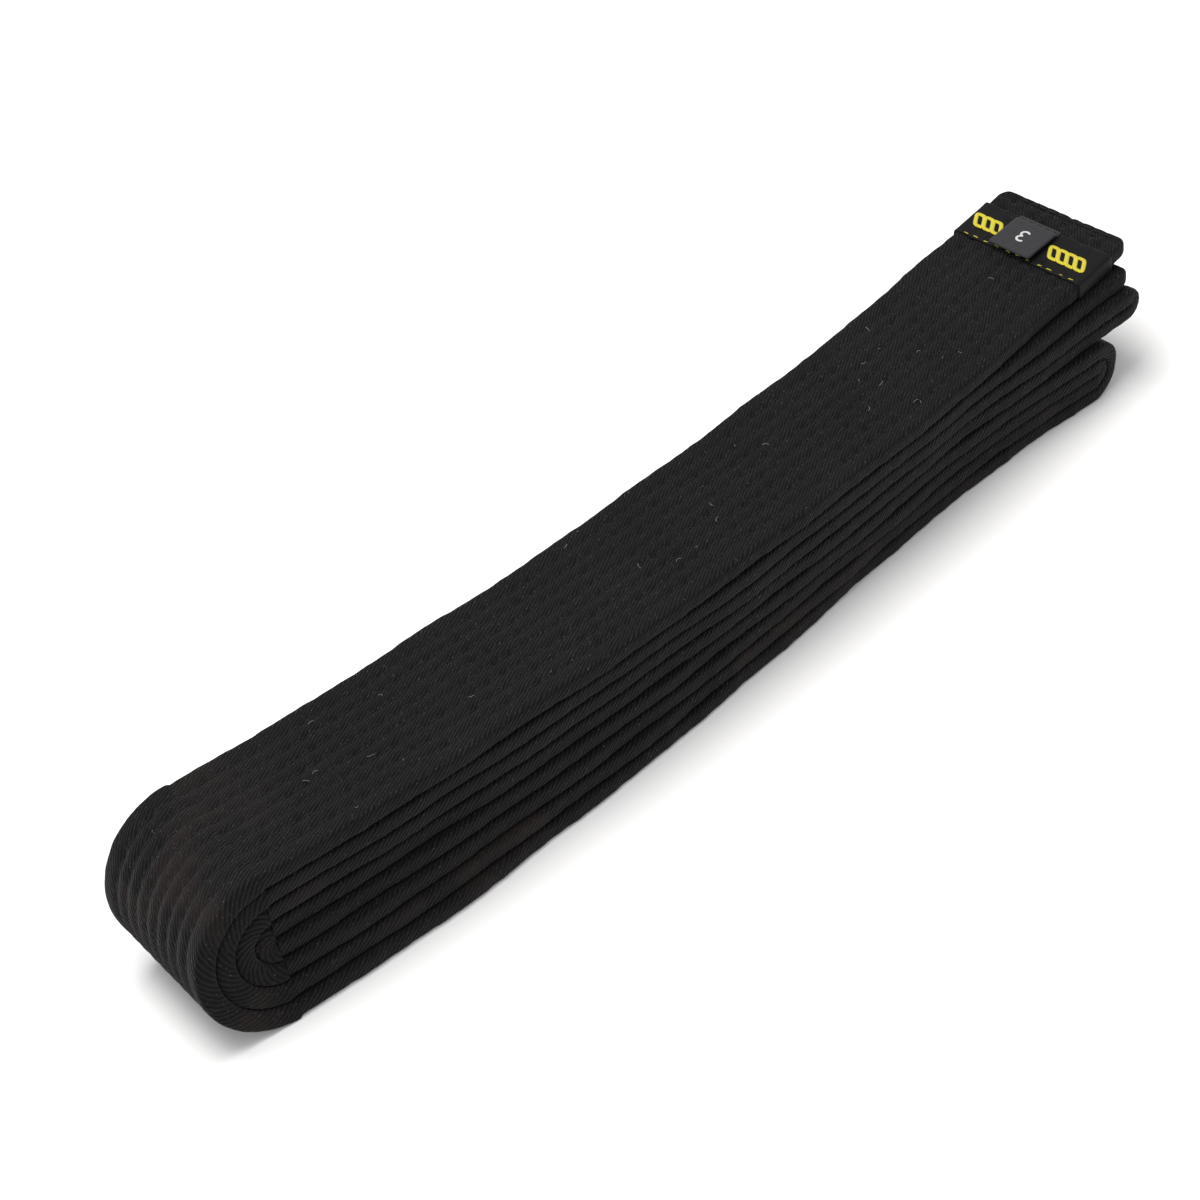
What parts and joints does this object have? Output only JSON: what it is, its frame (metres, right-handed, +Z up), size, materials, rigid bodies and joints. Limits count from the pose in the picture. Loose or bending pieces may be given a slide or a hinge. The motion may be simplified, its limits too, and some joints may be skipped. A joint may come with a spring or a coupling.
{
  "type": "martial arts belt",
  "caption": "Flat quilted cotton belt for a martial arts uniform, folded into a neat bundle, with a woven end label and a small folded size tag.",
  "frame": {"origin": "bottom centre of the folded bundle's bounding box, on the table", "axes": "+X along the bundle from the nested near folds to the two free ends, +Z up, -Y towards the side that the lower layers lean to"},
  "size_m": [0.3354, 0.0546, 0.041],
  "materials": {
    "cotton_cover": "black cotton twill",
    "cotton_core": "unbleached cotton batting",
    "black_thread": "matt twisted sewing thread",
    "label_weave": "black satin-woven label",
    "yellow_yarn": "yellow woven yarn, slight sheen",
    "tag_tape": "dark grey woven tape",
    "tag_thread": "matt sewing thread",
    "numeral_yarn": "off-white woven yarn"
  },
  "bodies": {
    "lower_stack": {"cover_layer_5": "cotton_cover", "core_layer_5": "cotton_core", "stitching_layer_5": "black_thread", "cover_layer_6": "cotton_cover", "core_layer_6": "cotton_core", "stitching_layer_6": "black_thread", "cover_layer_7": "cotton_cover", "core_layer_7": "cotton_core", "stitching_layer_7": "black_thread", "cover_layer_8": "cotton_cover", "core_layer_8": "cotton_core", "stitching_layer_8": "black_thread", "cover_near_fold_1": "cotton_cover", "core_near_fold_1": "cotton_core", "stitching_near_fold_1": "black_thread", "cover_near_fold_2": "cotton_cover", "core_near_fold_2": "cotton_core", "stitching_near_fold_2": "black_thread", "cover_near_fold_3": "cotton_cover", "core_near_fold_3": "cotton_core", "stitching_near_fold_3": "black_thread", "cover_near_fold_4": "cotton_cover", "core_near_fold_4": "cotton_core", "stitching_near_fold_4": "black_thread", "cover_far_fold_2": "cotton_cover", "core_far_fold_2": "cotton_core", "stitching_far_fold_2": "black_thread", "cover_far_fold_3": "cotton_cover", "core_far_fold_3": "cotton_core", "stitching_far_fold_3": "black_thread"},
    "middle_fold": {"cover_layer_3": "cotton_cover", "core_layer_3": "cotton_core", "stitching_layer_3": "black_thread", "cover_layer_4": "cotton_cover", "core_layer_4": "cotton_core", "stitching_layer_4": "black_thread", "cover_far_fold_1": "cotton_cover", "core_far_fold_1": "cotton_core", "stitching_far_fold_1": "black_thread"},
    "second_leaf": {"cover_layer_2": "cotton_cover", "core_layer_2": "cotton_core", "stitching_layer_2": "black_thread", "end_closure_2": "cotton_cover", "hem_stitching_2": "black_thread"},
    "top_leaf": {"cover_layer_1": "cotton_cover", "core_layer_1": "cotton_core", "stitching_layer_1": "black_thread", "end_closure_1": "cotton_cover", "hem_stitching_1": "black_thread", "label_band": "label_weave", "label_edge_stitching": "yellow_yarn", "label_motif_left": "yellow_yarn", "label_motif_right": "yellow_yarn", "size_tag_root": "tag_tape", "size_tag_stitching": "tag_thread"},
    "size_tag": {"size_tag_flap": "tag_tape", "size_numeral": "numeral_yarn"}
  },
  "joints": [
    {"name": "middle_fold_lift", "type": "hinge", "parent": "lower_stack", "child": "middle_fold", "pos_m": [-0.14151, 0.00655, 0.0205], "axis": [-0.1197, -0.9928, 0], "range_deg": [0, 35], "deforming": ["cover_near_fold_1", "core_near_fold_1", "stitching_near_fold_1", "cover_near_fold_2", "core_near_fold_2", "stitching_near_fold_2", "cover_near_fold_3", "core_near_fold_3", "stitching_near_fold_3", "cover_near_fold_4", "core_near_fold_4", "stitching_near_fold_4"]},
    {"name": "second_leaf_lift", "type": "hinge", "parent": "middle_fold", "child": "second_leaf", "pos_m": [-0.14151, 0.00655, 0.0205], "axis": [-0.1197, -0.9928, 0], "range_deg": [0, 35], "deforming": ["cover_near_fold_1", "core_near_fold_1", "stitching_near_fold_1", "cover_near_fold_2", "core_near_fold_2", "stitching_near_fold_2"]},
    {"name": "top_leaf_lift", "type": "hinge", "parent": "second_leaf", "child": "top_leaf", "pos_m": [-0.14151, 0.00655, 0.0205], "axis": [-0.1197, -0.9928, 0], "range_deg": [0, 35], "deforming": ["cover_near_fold_1", "core_near_fold_1", "stitching_near_fold_1"]},
    {"name": "size_tag_flip", "type": "hinge", "parent": "top_leaf", "child": "size_tag", "pos_m": [0.15468, 0.00748, 0.03826], "axis": [-0.1113, 0.9938, 0], "range_deg": [0, 150]}
  ]
}
